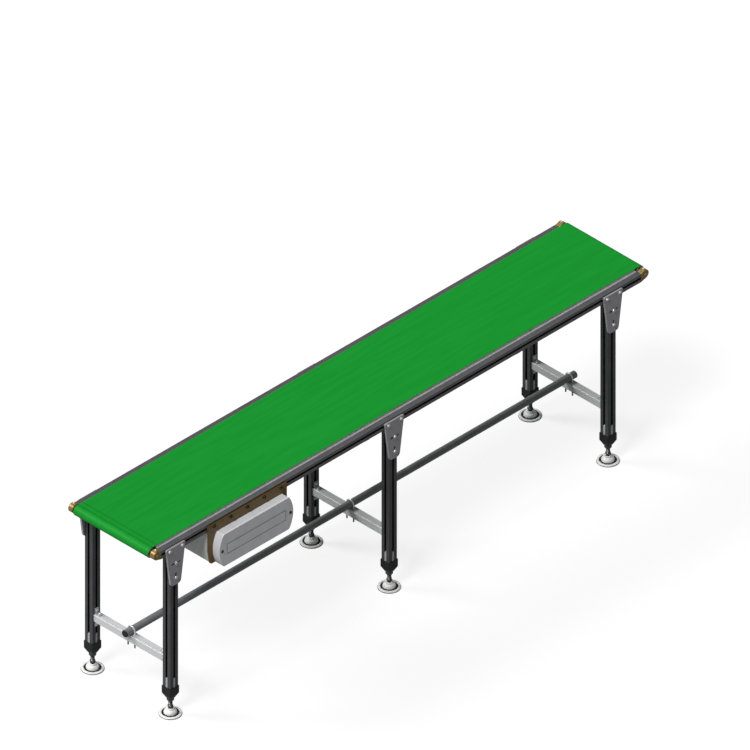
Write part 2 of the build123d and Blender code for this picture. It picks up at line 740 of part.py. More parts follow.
stud_bottom = cross_beam_top - beam_size - u_bolt_tail
with BuildPart() as tube_u_bolts:
    for x in leg_x:
        with BuildLine(ACROSS.offset(x)):
            Line((-stud_y, stud_bottom), (-stud_y, tube_z))
            ThreePointArc((-stud_y, tube_z), (0, tube_z + stud_y), (stud_y, tube_z))
            Line((stud_y, tube_z), (stud_y, stud_bottom))
        with BuildSketch(Plane(origin=(x, -stud_y, stud_bottom), z_dir=(0, 0, 1))):
            Circle(u_bolt_d / 2)
        sweep()
    with BuildSketch(Plane.XY.offset(cross_beam_top - beam_size)):
        with Locations(*[(x, y) for x in leg_x for y in (-stud_y, stud_y)]):
            RegularPolygon(u_nut_flats / 2, 6, major_radius=False)
            Circle(u_bolt_d / 2 + axle_gap, mode=Mode.SUBTRACT)
    extrude(amount=-u_nut_height)
write(tube_u_bolts, "tube_u_bolts")


# ---------------------------------------------------------------- drive plates and housing
def drive_outline(side, inset, top):
    """Closed outline of the drive unit: ends upright above the drive level, leaning in below."""
    Polyline(*[on_side(side, x, z) for x, z in (
        (plate_start + inset, top), (plate_start + inset, drive_z),
        (plate_start + drive_foot_inset + inset / 2, plate_bottom + inset),
        (plate_end - drive_foot_inset - inset / 2, plate_bottom + inset),
        (plate_end - inset, drive_z), (plate_end - inset, top))], close=True)


for side_name, side in sides.items():
    with BuildPart() as drive_side_plate:
        with BuildSketch(side_plane(side, rail_outer)) as plate_face:
            with BuildLine():
                drive_outline(side, 0, belt_top - drive_plate_top)
            make_face()
            fillet(plate_face.vertices().group_by(Axis.Y)[0], drive_corner)
            fillet(plate_face.vertices().group_by(Axis.Y)[-1], plate_top_corner)
            with Locations(*[on_side(side, x, rail_mid) for x in drive_bolts_x]):
                Circle(bolt_d / 2 + hole_gap, mode=Mode.SUBTRACT)
            with Locations(on_side(side, drive_x, drive_z)):
                Circle(drum_shaft_d / 2 + shaft_hole_gap, mode=Mode.SUBTRACT)
            if side < 0:
                with Locations(on_side(side, motor_x, drive_z)):
                    Circle(motor_shaft_d / 2 + shaft_hole_gap, mode=Mode.SUBTRACT)
                with Locations(*[on_side(side, x, drive_z) for x in guard_screws_x]):
                    Circle(guard_screw_d / 2 + axle_gap, mode=Mode.SUBTRACT)
        extrude(amount=drive_plate)
    write(drive_side_plate, f"{side_name}_drive_plate")

with BuildPart() as drive_housing:
    with BuildSketch(FRONT) as housing_face:
        with BuildLine():
            drive_outline(-1, housing_inset, housing_top)
        make_face()
        fillet(housing_face.vertices().group_by(Axis.Y)[0], drive_corner)
    extrude(amount=rail_outer, both=True)
    with BuildSketch(FRONT) as hollow_face:
        with BuildLine():
            drive_outline(-1, housing_inset + housing_wall, housing_top)
        make_face()
        fillet(hollow_face.vertices().group_by(Axis.Y)[0], drive_corner - housing_wall)
    extrude(amount=rail_outer, both=True, mode=Mode.SUBTRACT)
write(drive_housing, "drive_housing")

with BuildPart() as drum_bearings:
    for side in sides.values():
        with BuildSketch(side_plane(side, rail_outer)):
            with Locations(on_side(side, drive_x, drive_z)):
                Circle(bearing_d / 2)
                Circle(drum_shaft_d / 2 + axle_gap, mode=Mode.SUBTRACT)
        extrude(amount=-bearing_depth)
write(drum_bearings, "drum_bearings")

# ---------------------------------------------------------------- gear motor
gearbox_y = rail_outer - gearbox_depth  # distance of the gearbox's inner face
with BuildPart() as gearbox:
    with BuildSketch(side_plane(-1, rail_outer)):
        with Locations((motor_x, drive_z)):
            RectangleRounded(gearbox_size, gearbox_size, gearbox_corner)
    extrude(amount=-gearbox_depth)
    chamfer(gearbox.faces().sort_by(Axis.Y)[-1].edges(), gearbox_chamfer)
    with BuildSketch(side_plane(-1, rail_outer)):
        with Locations((motor_x, drive_z)):
            Circle(motor_shaft_d / 2 + axle_gap)
    extrude(amount=-gearbox_bore, mode=Mode.SUBTRACT)
write(gearbox, "gearbox")

with BuildPart() as motor:
    with BuildSketch(side_plane(-1, gearbox_y)):
        with Locations((motor_x, drive_z)):
            Circle(motor_barrel_d / 2)
    extrude(amount=-motor_length)
    with BuildSketch(side_plane(-1, gearbox_y - motor_length)):
        with Locations((motor_x, drive_z)):
            Circle(motor_d / 2)
    extrude(amount=cowl_length)
    with BuildSketch(side_plane(-1, gearbox_y)):
        with Locations((motor_x, drive_z)):
            Circle(motor_d / 2)
    extrude(amount=-motor_flange)
write(motor, "motor")

box_y = -gearbox_y + motor_length / 2
box_bottom = drive_z + motor_barrel_d / 2 - terminal_sink
with BuildPart() as terminal_cover:
    with Locations((motor_x, box_y, box_bottom)):
        Box(*terminal_box, align=(Align.CENTER, Align.CENTER, Align.MIN))
    fillet(terminal_cover.edges().filter_by(Axis.Z), terminal_corner)
    with Locations(Location((motor_x, 0, drive_z), (90, 0, 0))):
        Cylinder(motor_barrel_d / 2, 2 * rail_outer, mode=Mode.SUBTRACT)

with BuildPart() as cable_gland:
    with BuildSketch(ACROSS.offset(motor_x + terminal_box[0] / 2)):
        with Locations((box_y, box_bottom + terminal_box[2] / 2)):
            RegularPolygon(gland_d / 2, 6, major_radius=False)
            Circle(gland_d / 4, mode=Mode.SUBTRACT)
    extrude(amount=gland_length)
write_together((terminal_cover, cable_gland), "terminal_box")


# ---------------------------------------------------------------- toothed belt drive
def pulley(x, diameter, bore_d):
    """Flanged toothed pulley about an axis along Y at the drive level."""
    teeth = round(math.pi * diameter / pulley_tooth_pitch)
    with BuildPart() as wheel:
        with BuildSketch(FRONT.offset(pulley_back)):
            with Locations((x, drive_z)):
                Circle(diameter / 2)
                with PolarLocations(diameter / 2, teeth):
                    Circle(pulley_tooth_gap / 2, mode=Mode.SUBTRACT)
        extrude(amount=pulley_front - pulley_back)
        for flange in (pulley_back, pulley_front - pulley_flange):
            with BuildSketch(FRONT.offset(flange)):
                with Locations((x, drive_z)):
                    Circle(diameter / 2 + pulley_flange_rise)
            extrude(amount=pulley_flange)
        with BuildSketch(FRONT.offset(pulley_back)):
            with Locations((x, drive_z)):
                Circle(bore_d / 2)
        extrude(amount=pulley_front - pulley_back, mode=Mode.SUBTRACT)
    return wheel


write(pulley(drive_x, drum_pulley_d, drum_shaft_d), "drum_pulley")

with BuildPart() as motor_output_shaft:
    with BuildSketch(FRONT.offset(rail_outer - output_shaft_seat)):
        with Locations((motor_x, drive_z)):
            Circle(motor_shaft_d / 2)
    extrude(amount=pulley_front - rail_outer + output_shaft_seat)
write_together((pulley(motor_x, motor_pulley_d, motor_shaft_d), motor_output_shaft),
               "motor_pulley")

belt_back = pulley_back + pulley_flange + roller_gap
with BuildPart() as timing_belt:
    for spread, mode in ((timing_thickness, Mode.ADD), (0, Mode.SUBTRACT)):
        with BuildSketch(FRONT.offset(belt_back)):
            for x, diameter in ((drive_x, drum_pulley_d), (motor_x, motor_pulley_d)):
                with Locations((x, drive_z)):
                    Circle(diameter / 2 + roller_gap + spread)
            make_hull()
        extrude(amount=timing_width - 2 * roller_gap, mode=mode)
write(timing_belt, "timing_belt")


# ---------------------------------------------------------------- belt guard
def guard_outline(inset):
    """Guard outline: straight top and bottom, bowed ends."""
    top = drive_z + guard_height / 2 - inset
    bottom = drive_z - guard_height / 2 + inset
    left = guard_start + guard_bulge + inset / 2
    right = guard_end - guard_bulge - inset / 2
    Line((left, top), (right, top))
    ThreePointArc((right, top), (guard_end - inset, drive_z), (right, bottom))
    Line((right, bottom), (left, bottom))
    ThreePointArc((left, bottom), (guard_start + inset, drive_z), (left, top))


with BuildPart() as belt_guard:
    with BuildSketch(FRONT.offset(plate_outer)) as guard_shape:
        with BuildLine():
            guard_outline(0)
        make_face()
        fillet(guard_shape.vertices(), guard_corner)
    extrude(amount=guard_depth)
    with BuildSketch(FRONT.offset(plate_outer)) as guard_hollow:
        with BuildLine():
            guard_outline(guard_wall)
        make_face()
        fillet(guard_hollow.vertices(), guard_corner - guard_wall)
    extrude(amount=guard_depth - guard_wall, mode=Mode.SUBTRACT)
    with BuildSketch(FRONT.offset(plate_outer)):
        with Locations(*[(x, drive_z) for x in guard_screws_x]):
            Circle(guard_boss_d / 2)
    extrude(amount=guard_depth - guard_wall)
    with BuildSketch(FRONT.offset(guard_face)):
        with Locations(((guard_start + guard_end) / 2, drive_z)):
            Rectangle(guard_panel[0], guard_panel[1])
            Rectangle(guard_panel[0] - 2 * guard_groove, guard_panel[1] - 2 * guard_groove,
                      mode=Mode.SUBTRACT)
    extrude(amount=-guard_groove_depth, mode=Mode.SUBTRACT)
    with BuildSketch(FRONT.offset(plate_outer)):
        with Locations(*[(x, drive_z) for x in guard_screws_x]):
            Circle(guard_screw_d / 2 + hole_gap)
    extrude(amount=guard_depth, mode=Mode.SUBTRACT)
write(belt_guard, "belt_guard")

with BuildPart() as guard_screws:
    with BuildSketch(FRONT.offset(guard_face)):
        with Locations(*[(x, drive_z) for x in guard_screws_x]):
            Circle(guard_screw_head_d / 2)
    extrude(amount=guard_screw_head_height)
    with BuildSketch(FRONT.offset(guard_face)):
        with Locations(*[(x, drive_z) for x in guard_screws_x]):
            Circle(guard_screw_d / 2)
    extrude(amount=-(guard_depth + drive_plate))
write(guard_screws, "guard_screws")

# ---------------------------------------------------------------- return roller hangers
hanger_inner = roller_half + hanger_gap
hanger_foot_end = rail_outer - hanger_foot_inset
with BuildPart() as return_roller_hangers:
    for x in return_positions:
        for side in sides.values():
            tab_y = side * (hanger_inner + hanger_thickness / 2)
            tab_bottom = return_z - return_r
            with Locations((x, tab_y, (rail_bottom + tab_bottom) / 2)):
                Box(hanger_width, hanger_thickness, rail_bottom - tab_bottom)
            foot_mid = (hanger_inner + hanger_foot_end) / 2
            with Locations((x, side * foot_mid, rail_bottom - hanger_thickness / 2)):
                Box(hanger_width, hanger_foot_end - hanger_inner, hanger_thickness)
    with Locations(*[Location((x, 0, return_z), (90, 0, 0)) for x in return_positions]):
        Cylinder(return_axle_d / 2 + axle_gap, 2 * rail_outer, mode=Mode.SUBTRACT)
write(return_roller_hangers, "return_roller_hangers")
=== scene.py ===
import math

import bmesh
import bpy
from mathutils import Matrix, Vector


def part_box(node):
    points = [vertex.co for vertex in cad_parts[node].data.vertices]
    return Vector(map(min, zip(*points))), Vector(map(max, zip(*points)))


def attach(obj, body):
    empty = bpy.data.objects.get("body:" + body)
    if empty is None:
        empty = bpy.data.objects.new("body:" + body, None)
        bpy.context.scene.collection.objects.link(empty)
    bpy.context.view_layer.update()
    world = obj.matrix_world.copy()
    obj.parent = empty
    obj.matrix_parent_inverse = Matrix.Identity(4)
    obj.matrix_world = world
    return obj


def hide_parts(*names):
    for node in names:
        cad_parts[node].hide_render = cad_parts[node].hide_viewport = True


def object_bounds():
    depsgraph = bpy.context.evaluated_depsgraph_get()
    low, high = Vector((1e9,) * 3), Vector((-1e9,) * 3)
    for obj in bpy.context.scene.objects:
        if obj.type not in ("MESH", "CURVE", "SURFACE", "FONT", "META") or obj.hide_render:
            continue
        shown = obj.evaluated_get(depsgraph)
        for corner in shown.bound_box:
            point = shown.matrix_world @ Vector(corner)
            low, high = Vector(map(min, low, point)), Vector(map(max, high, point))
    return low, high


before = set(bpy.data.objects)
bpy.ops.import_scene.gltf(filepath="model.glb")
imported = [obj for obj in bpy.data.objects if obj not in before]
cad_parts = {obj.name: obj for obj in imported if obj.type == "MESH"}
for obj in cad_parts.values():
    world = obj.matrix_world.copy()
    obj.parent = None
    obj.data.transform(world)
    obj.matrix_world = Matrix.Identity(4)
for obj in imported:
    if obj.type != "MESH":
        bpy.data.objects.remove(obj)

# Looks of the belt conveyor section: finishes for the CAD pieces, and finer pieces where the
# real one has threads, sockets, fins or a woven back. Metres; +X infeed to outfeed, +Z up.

cad_low, cad_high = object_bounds()

MM = 0.001
BELT_THICKNESS = 2 * MM
SPLICE_FROM_NOSE = 36 * MM
SPLICE_HALF_PITCH = 11 * MM  # each pressed line from the splice's middle
M16_RADIUS = 8 * MM
M16_PITCH = 2 * MM


# ------------------------------------------------------------------ shading helpers
def paint(hex_code):
    """An sRGB hex colour as the linear colour that a shader takes."""
    channels = [int(hex_code[i:i + 2], 16) / 255 for i in (1, 3, 5)]
    return [c / 12.92 if c <= 0.04045 else ((c + 0.055) / 1.055) ** 2.4 for c in channels] + [1.0]


def add(tree, kind, settings=None, links=None):
    """Add a node. Settings are its own properties; links feed its inputs, by socket or value."""
    made = tree.nodes.new(kind)
    for name, value in (settings or {}).items():
        setattr(made, name, value)
    for name, value in (links or {}).items():
        if isinstance(value, bpy.types.NodeSocket):
            tree.links.new(value, made.inputs[name])
        else:
            made.inputs[name].default_value = value
    return made


def surface(name, colour, roughness, metallic=0.0, ior=1.5, **more):
    """A new material with its shader set up. Returns the material, its node tree and shader."""
    material = bpy.data.materials.new(name)
    material.use_nodes = True
    tree = material.node_tree
    shader = tree.nodes["Principled BSDF"]
    shader.inputs["Base Color"].default_value = paint(colour)
    shader.inputs["Roughness"].default_value = roughness
    shader.inputs["Metallic"].default_value = metallic
    shader.inputs["IOR"].default_value = ior
    for socket, value in more.items():
        shader.inputs[socket.replace("_", " ")].default_value = value
    return material, tree, shader


def grain(tree, size_mm, stretch=(1, 1, 1), detail=3.0):
    """Cloudy pattern with features of a real size, drawn out along an axis by its stretch."""
    place = add(tree, "ShaderNodeTexCoord").outputs["Object"]
    scaled = add(tree, "ShaderNodeMapping",
                 links={"Vector": place, "Scale": [1 / (size_mm * MM * s) for s in stretch]})
    return add(tree, "ShaderNodeTexNoise",
               links={"Vector": scaled.outputs[0], "Scale": 1.0, "Detail": detail}).outputs["Fac"]


def between(tree, value, low, high, start=0.3, end=0.7):
    """Spread a pattern's usual values over the range from low to high."""
    return add(tree, "ShaderNodeMapRange", links={
        "Value": value, "From Min": start, "From Max": end, "To Min": low, "To Max": high,
    }).outputs["Result"]


def mixed(tree, share, first, second):
    """Blend two colours by a share between 0 and 1."""
    return add(tree, "ShaderNodeMix", {"data_type": "RGBA"},
               {0: share, 6: first, 7: second}).outputs[2]


def relief(tree, shader, height, depth_mm, strength=0.5):
    """Raise and sink the surface by a pattern, to a real depth."""
    bump = add(tree, "ShaderNodeBump",
               links={"Height": height, "Distance": depth_mm * MM, "Strength": strength})
    tree.links.new(bump.outputs["Normal"], shader.inputs["Normal"])


def recess_shade_mask(tree, depth_mm):
    """Mask for painted shade: 1 far inside slots and grooves of about a real depth, and 0 on open faces,
    from ambient occlusion.
    """
    open_share = add(tree, "ShaderNodeAmbientOcclusion", {"samples": 8},
                     {"Distance": depth_mm * MM}).outputs["AO"]
    return between(tree, open_share, 1.0, 0.0, 0.5, 0.85)


def edge_wear(tree, radius_mm, speckle_mm=3.0):
    """1 along handled edges, broken up by a speckle, and 0 on the flats."""
    rounded = add(tree, "ShaderNodeBevel", {"samples": 4},
                  {"Radius": radius_mm * MM}).outputs["Normal"]
    true = add(tree, "ShaderNodeNewGeometry").outputs["Normal"]
    alike = add(tree, "ShaderNodeVectorMath", {"operation": "DOT_PRODUCT"},
                {0: rounded, 1: true}).outputs["Value"]
    edge = between(tree, alike, 1.0, 0.0, 0.82, 0.97)
    broken = between(tree, grain(tree, speckle_mm), 0.0, 1.0, 0.42, 0.6)
    return add(tree, "ShaderNodeMath", {"operation": "MULTIPLY"}, {0: edge, 1: broken}).outputs[0]


# ------------------------------------------------------------------ finishes
def black_anodised(name, dark, light, stretch):
    """Black anodised aluminium extrusion: a satin charcoal, with faint die lines along its
    length, bare metal just showing on the sharp edges, and painted shade that turns it black inside the
    slots."""
    material, tree, shader = surface(name, light, 0.42, metallic=0.2)
    lines = grain(tree, 0.5, stretch)
    wear = edge_wear(tree, 0.5)
    shade = mixed(tree, between(tree, grain(tree, 60), 0.0, 1.0), paint(dark), paint(light))
    worn = mixed(tree, between(tree, wear, 0.0, 0.45, 0.0, 1.0), shade, paint("#A8A8AA"))
    # painted shade: near black far into the slots, read off ambient occlusion
    slot_shade = mixed(tree, recess_shade_mask(tree, 12), worn, paint("#060606"))
    tree.links.new(slot_shade, shader.inputs["Base Color"])
    tree.links.new(between(tree, lines, 0.34, 0.5), shader.inputs["Roughness"])
    relief(tree, shader, lines, 0.02, 0.35)
    return material


def green_pvc():
    """Calendered PVC belt cover: smooth and matt, a fine emboss, and faint rub marks along the
    running direction."""
    material, tree, shader = surface("green_pvc_belt_cover", "#14922C", 0.6, Specular_IOR_Level=0.1)
    rubbed = grain(tree, 14, (14, 1, 1))
    tone = mixed(tree, between(tree, rubbed, 0.0, 1.0), paint("#128E2B"), paint("#17952F"))
    # the welded splice crosses the belt as two pressed lines, 2 mm wide and 22 mm apart
    place = add(tree, "ShaderNodeTexCoord").outputs["Object"]
    along = add(tree, "ShaderNodeSeparateXYZ", links={"Vector": place}).outputs["X"]
    from_splice = add(tree, "ShaderNodeMath", {"operation": "SUBTRACT"},
                      {0: along, 1: cad_low.x + SPLICE_FROM_NOSE}).outputs[0]
    either = add(tree, "ShaderNodeMath", {"operation": "ABSOLUTE"}, {0: from_splice}).outputs[0]
    off_line = add(tree, "ShaderNodeMath", {"operation": "SUBTRACT"},
                   {0: either, 1: SPLICE_HALF_PITCH}).outputs[0]
    reach = add(tree, "ShaderNodeMath", {"operation": "ABSOLUTE"}, {0: off_line}).outputs[0]
    pressed = between(tree, reach, 0.8, 0.0, 1 * MM, 1.4 * MM)
    lined = mixed(tree, pressed, tone, paint("#0E5A1C"))
    tree.links.new(lined, shader.inputs["Base Color"])
    tree.links.new(between(tree, rubbed, 0.44, 0.56), shader.inputs["Roughness"])
    # the emboss is 0.6 mm between grains on the real cover, and drawn at 1.5 mm to show
    relief(tree, shader, grain(tree, 1.5, detail=1.0), 0.05, 0.3)
    return material


def belt_fabric():
    """Polyester weave on the belt's running side: pale grey, with threads both ways."""
    material, tree, shader = surface("polyester_belt_weave", "#B9BBB4", 0.85)
    # threads are 0.5 mm apart on the real fabric, and drawn 1 mm apart to show
    warp = grain(tree, 1.0, (1, 8, 1))
    weft = grain(tree, 1.0, (8, 1, 1))
    threads = add(tree, "ShaderNodeMath", {"operation": "MAXIMUM"}, {0: warp, 1: weft}).outputs[0]
    tone = mixed(tree, between(tree, threads, 0.0, 1.0), paint("#9FA19A"), paint("#C6C8C0"))
    tree.links.new(tone, shader.inputs["Base Color"])
    relief(tree, shader, threads, 0.1, 0.5)
    return material


def galvanised_sheet():
    """Galvanised steel sheet: bright zinc with a soft spangle of crystals about 8 mm across."""
    material, tree, shader = surface("galvanised_sheet", "#CFD1D1", 0.4, metallic=0.3)
    place = add(tree, "ShaderNodeTexCoord").outputs["Object"]
    crystals = add(tree, "ShaderNodeTexVoronoi",
                   links={"Vector": place, "Scale": 1 / (8 * MM)}).outputs["Color"]
    level = add(tree, "ShaderNodeSeparateColor", links={"Color": crystals}).outputs[0]
    tone = mixed(tree, level, paint("#C6C8C8"), paint("#DADCDC"))
    tree.links.new(tone, shader.inputs["Base Color"])
    tree.links.new(between(tree, level, 0.32, 0.5, 0.0, 1.0), shader.inputs["Roughness"])
    return material


def zinc_plate(name="bright_zinc_plate", colour="#F0F0F2"):
    """Bright zinc plate on turned or rolled steel: silvery, faintly cloudy."""
    material, tree, shader = surface(name, colour, 0.3, metallic=0.5)
    tree.links.new(between(tree, grain(tree, 4), 0.22, 0.42), shader.inputs["Roughness"])
    relief(tree, shader, grain(tree, 0.4), 0.01, 0.3)
    return material


def yellow_passivated_casting():
    """Cast block with a yellow chromate passivation: brassy, a little iridescent and uneven."""
    material, tree, shader = surface("yellow_passivated_casting", "#93793C", 0.4, metallic=0.4)
    tone = mixed(tree, between(tree, grain(tree, 9), 0.0, 1.0), paint("#866C32"),
                 paint("#A88F50"))
    rubbed = between(tree, edge_wear(tree, 0.8), 0.0, 0.4, 0.0, 1.0)
    lit = mixed(tree, rubbed, tone, paint("#E2D4A0"))
    tree.links.new(lit, shader.inputs["Base Color"])
    relief(tree, shader, grain(tree, 0.8), 0.04, 0.4)
    return material


def powder_coat(name, colour, light, dark, worn_to="#9C9C9C", roughness=0.45, groove_mm=2.0):
    """Powder coat on sheet steel: even colour, fine orange peel, rubbed brighter on edges, and
    painted shade darkening its grooves and seams."""
    material, tree, shader = surface(name, colour, roughness)
    tone = mixed(tree, between(tree, grain(tree, 45), 0.0, 1.0), paint(dark), paint(light))
    rubbed = between(tree, edge_wear(tree, 0.6), 0.0, 0.6, 0.0, 1.0)
    worn = mixed(tree, rubbed, tone, paint(worn_to))
    # painted shade: grooves and seams darken towards #1C1C1C, read off ambient occlusion over groove_mm
    groove_shade = between(tree, recess_shade_mask(tree, groove_mm), 0.0, 0.85, 0.0, 1.0)
    tree.links.new(mixed(tree, groove_shade, worn, paint("#1C1C1C")), shader.inputs["Base Color"])
    # orange peel is 1.5 mm across
    peel = grain(tree, 1.5, detail=1.0)
    tree.links.new(between(tree, peel, roughness - 0.06, roughness + 0.06),
                   shader.inputs["Roughness"])
    relief(tree, shader, peel, 0.03, 0.3)
    return material


def moulded_nylon(name, light, dark, roughness=0.5):
    """Glass-filled nylon moulding: even and slightly rough, with a fine spark-eroded grain."""
    material, tree, shader = surface(name, light, roughness)
    tone = mixed(tree, between(tree, grain(tree, 18), 0.0, 1.0), paint(dark), paint(light))
    tree.links.new(tone, shader.inputs["Base Color"])
    texture = grain(tree, 0.6)
    tree.links.new(between(tree, texture, roughness - 0.08, roughness + 0.1),
                   shader.inputs["Roughness"])
    relief(tree, shader, texture, 0.02, 0.4)
    return material


def die_cast_zinc():
    """Die-cast zinc alloy: pale, with a dull cast skin that is brighter on its edges."""
    material, tree, shader = surface("die_cast_zinc", "#BFC0C2", 0.48, metallic=0.3)
    tone = mixed(tree, between(tree, grain(tree, 6), 0.0, 1.0), paint("#AFB0B2"),
                 paint("#CDCED0"))
    lit = mixed(tree, edge_wear(tree, 0.5), tone, paint("#E6E6E8"))
    tree.links.new(lit, shader.inputs["Base Color"])
    relief(tree, shader, grain(tree, 0.7), 0.03, 0.35)
    return material


def clear_anodised():
    """Clear anodised aluminium tube: pale satin silver with drawing lines along its length."""
    material, tree, shader = surface("clear_anodised_tube", "#C9CACB", 0.42, metallic=0.15)
    lines = grain(tree, 0.5, (1, 60, 1))
    tone = mixed(tree, between(tree, lines, 0.0, 1.0), paint("#D6D7D8"), paint("#E2E3E4"))
    tree.links.new(tone, shader.inputs["Base Color"])
    tree.links.new(between(tree, lines, 0.36, 0.5), shader.inputs["Roughness"])
    relief(tree, shader, lines, 0.02, 0.3)
    return material


def black_rubber():
    """Nitrile rubber: deep matt black with a dusty bloom."""
    material, tree, shader = surface("black_nitrile_rubber", "#1A1A1B", 0.75)
    bloom = mixed(tree, between(tree, grain(tree, 12), 0.0, 1.0), paint("#161617"),
                  paint("#26262A"))
    tree.links.new(bloom, shader.inputs["Base Color"])
    relief(tree, shader, grain(tree, 0.8), 0.05, 0.4)
    return material


def turned_metal(name, colour, roughness=0.3):
    """Lathe-turned metal: bright, with fine tool rings across the axis."""
    material, tree, shader = surface(name, colour, roughness, metallic=0.9)
    rings = grain(tree, 0.6, (20, 1, 20), detail=1.0)
    tree.links.new(between(tree, rings, roughness - 0.08, roughness + 0.12),
                   shader.inputs["Roughness"])
    relief(tree, shader, rings, 0.01, 0.3)
    return material


LENGTHWAYS = (80, 1, 1)
UPWARDS = (1, 1, 80)
RAIL_BLACK = black_anodised("black_anodised_rail", "#666668", "#6E6E70", LENGTHWAYS)
LEG_BLACK = black_anodised("black_anodised_leg", "#4A4A4C", "#525254", UPWARDS)
BELT_GREEN = green_pvc()
BELT_WEAVE = belt_fabric()
SHEET_ZINC = galvanised_sheet()
BOLT_ZINC = zinc_plate()
STEM_ZINC = zinc_plate("black_zinc_plated_stem", "#5A5B5E")
BOLT_BLACK = zinc_plate("black_oxide_bolt", "#2C2C2E")
BLOCK_YELLOW = yellow_passivated_casting()
BRACKET_GREY = powder_coat("grey_powder_coat_bracket", "#A9A7AA", "#ADABAE", "#A4A2A5", "#D4D4D4")
BRONZE = powder_coat("bronze_powder_coat", "#6E5520", "#735A24", "#674F1C", "#957B40")
HOUSING_GREY = powder_coat("light_grey_powder_coat", "#E8E8E8", "#ECECEC", "#E2E2E2", "#F6F6F6")
GUARD_GREY = powder_coat("guard_grey_powder_coat", "#EAEAEC", "#EEEEF0", "#E4E4E7", "#FAFAFA",
                         groove_mm=3.5)
TUBE_GREY = powder_coat("dark_grey_powder_coat", "#7E7E81", "#838386", "#79797C", "#A0A0A3")
NYLON_BLACK = moulded_nylon("black_moulded_nylon", "#202022", "#161617")
NYLON_WHITE = moulded_nylon("pale_moulded_nylon", "#F2F2F0", "#E8E8E6", 0.42)
CAST_ZINC = die_cast_zinc()
BEAM_SILVER = clear_anodised()
RUBBER = black_rubber()
ROLLER_STEEL = turned_metal("turned_steel_roller", "#B8B9BB")
PULLEY_METAL = turned_metal("turned_aluminium_pulley", "#C6C7C9", 0.35)
MOTOR_ENAMEL = powder_coat("motor_enamel", "#4A5560", "#505B66", "#444E58", "#7C858E", 0.38)


# ------------------------------------------------------------------ making pieces
def piece(name, shape, materials, body, stands_for=(), sharp_deg=32):
    """Turn a bmesh into a named piece that rides on a body, in place of the CAD nodes named."""
    bmesh.ops.recalc_face_normals(shape, faces=shape.faces)
    mesh = bpy.data.meshes.new(name)
    shape.to_mesh(mesh)
    shape.free()
    for material in materials:
        mesh.materials.append(material)
    mesh.shade_smooth()
    mesh.set_sharp_from_angle(angle=math.radians(sharp_deg))
    made = bpy.data.objects.new(name, mesh)
    bpy.context.scene.collection.objects.link(made)
    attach(made, body)
    if stands_for:
        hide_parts(*stands_for)
    return made


def coat(node, material, round_mm=0.3, segments=2):
    """Give a CAD piece its finish, with softened edges between faces that stay flat."""
    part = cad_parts[node]
    part.data.materials.clear()
    part.data.materials.append(material)
    weld = part.modifiers.new("weld", "WELD")
    weld.merge_threshold = 0.01 * MM
    bevel = part.modifiers.new("edges", "BEVEL")
    bevel.width = round_mm * MM
    bevel.segments = segments
    bevel.limit_method = "ANGLE"
    bevel.angle_limit = math.radians(35)
    flat = part.modifiers.new("flat_faces", "WEIGHTED_NORMAL")
    flat.mode = "FACE_AREA"
    flat.weight = 80


def ring(bm, radius, height, steps, place):
    """One closed ring of vertices. Radius and height may be functions of the angle."""
    made = []
    for i in range(steps):
        turn = 2 * math.pi * i / steps
        r = radius(turn) if callable(radius) else radius
        z = height(turn) if callable(height) else height
        made.append(bm.verts.new(place @ Vector((r * math.cos(turn), r * math.sin(turn), z))))
    return made


def turned(bm, stack, steps=48, place=Matrix(), material=0, closed=False):
    """Skin over a stack of (radius, height) rings about local Z. A closed stack joins its last
    ring to its first, as a bored piece does; an open one is capped."""
    rings = [ring(bm, radius, height, steps, place) for radius, height in stack]
    pairs = list(zip(rings, rings[1:])) + ([(rings[-1], rings[0])] if closed else [])
    for lower, upper in pairs:
        for i in range(steps):
            j = (i + 1) % steps
            face = bm.faces.new((lower[i], lower[j], upper[j], upper[i]))
            face.material_index = material
    if not closed:
        for cap in (rings[0], rings[-1]):
            bm.faces.new(cap).material_index = material


def hexagon(flats, spare=0.0):
    """Radius of a hexagon across its flats, as a function of the angle."""
    def radius(turn):
        return (flats / 2 + spare) / math.cos((turn % (math.pi / 3)) - math.pi / 6)
    return radius


def nut(bm, flats, height, bore, place, material=0):
    """Hexagon nut with its corners turned off on both faces and a countersunk bore."""
    across = hexagon(flats)
    land = flats / 2 * 0.96

    def low(turn):
        return max(0.0, across(turn) - land) * 0.55

    def high(turn):
        return height - low(turn)

    turned(bm, [(bore, bore * 0.12), (bore * 1.12, 0.0), (land, 0.0), (across, low),
                (across, high), (land, height), (bore * 1.12, height),
                (bore, height - bore * 0.12)], 48, place, material, closed=True)


def socket_head(bm, radius, height, socket, place, material=0):
    """Low round head with a hexagon socket, its seat at local zero."""
    key = hexagon(socket)
    turned(bm, [(radius * 0.97, 0.0), (radius, 0.1 * height), (radius, 0.35 * height),
                (0.93 * radius, 0.68 * height), (0.78 * radius, 0.9 * height),
                (0.62 * radius, height), (hexagon(socket, 0.3 * MM), height),
                (key, 0.92 * height), (key, 0.4 * height)], 48, place, material)


def washer(bm, radius, bore, height, place, material=0):
    """Flat washer with a rounded rim."""
    turned(bm, [(bore, 0.0), (radius * 0.97, 0.0), (radius, 0.3 * height),
                (radius, 0.7 * height), (radius * 0.97, height), (bore, height)],
           48, place, material, closed=True)


